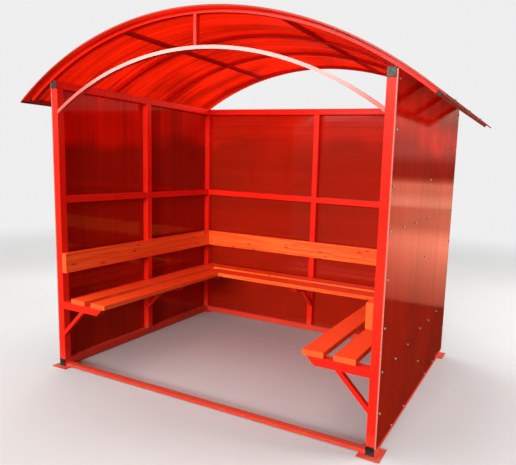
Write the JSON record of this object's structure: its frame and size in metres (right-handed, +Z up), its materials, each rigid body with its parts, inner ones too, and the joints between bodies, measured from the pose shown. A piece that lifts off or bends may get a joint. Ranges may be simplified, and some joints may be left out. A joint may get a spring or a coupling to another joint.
{
  "type": "smoking shelter",
  "caption": "Open-fronted smoking shelter with a square-tube frame, arched twin-wall roof, sheeted sides and back, and a U-shaped slatted bench with a backrest.",
  "frame": {"origin": "floor level, under the middle of the plan", "axes": "+Z up, +Y from the open front to the back wall, +X to the right seen from the front"},
  "size_m": [2.9098, 1.77, 2.3676],
  "materials": {
    "frame_paint": "gloss",
    "wall_sheet": "gloss",
    "roof_sheet": "gloss",
    "bench_wood": "varnished",
    "end_plug": "matte"
  },
  "bodies": {
    "root": {"foot_plate_front_left": "frame_paint", "foot_plate_front_right": "frame_paint", "foot_plate_rear_left": "frame_paint", "foot_plate_rear_right": "frame_paint", "bottom_rail_left": "frame_paint", "bottom_rail_right": "frame_paint", "bottom_rail_back": "frame_paint", "threshold_bar": "frame_paint", "top_rail_left": "frame_paint", "top_rail_right": "frame_paint", "top_rail_back": "frame_paint", "corner_post_front_left": "frame_paint", "corner_post_front_right": "frame_paint", "corner_post_rear_left": "frame_paint", "corner_post_rear_right": "frame_paint", "mid_post_left": "frame_paint", "mid_post_right": "frame_paint", "mid_post_back": "frame_paint", "mid_rail_left": "frame_paint", "mid_rail_right": "frame_paint", "mid_rail_back": "frame_paint", "seat_rail_left": "frame_paint", "seat_rail_right": "frame_paint", "seat_rail_back": "frame_paint", "roof_arch_front": "frame_paint", "roof_arch_second": "frame_paint", "roof_arch_third": "frame_paint", "roof_arch_rear": "frame_paint", "eave_rails": "frame_paint", "roof_purlins": "frame_paint", "portal_arch": "frame_paint", "portal_strut": "frame_paint", "seat_brackets_left": "frame_paint", "seat_brackets_right": "frame_paint", "seat_brackets_back": "frame_paint", "wall_sheet_left": "wall_sheet", "wall_sheet_right": "wall_sheet", "wall_sheet_back": "wall_sheet", "roof_sheet": "roof_sheet", "backrest_left": "bench_wood", "backrest_right": "bench_wood", "backrest_back": "bench_wood", "seat_slats_left": "bench_wood", "seat_slats_right": "bench_wood", "seat_slats_back": "bench_wood", "end_plugs": "end_plug"}
  },
  "joints": []
}
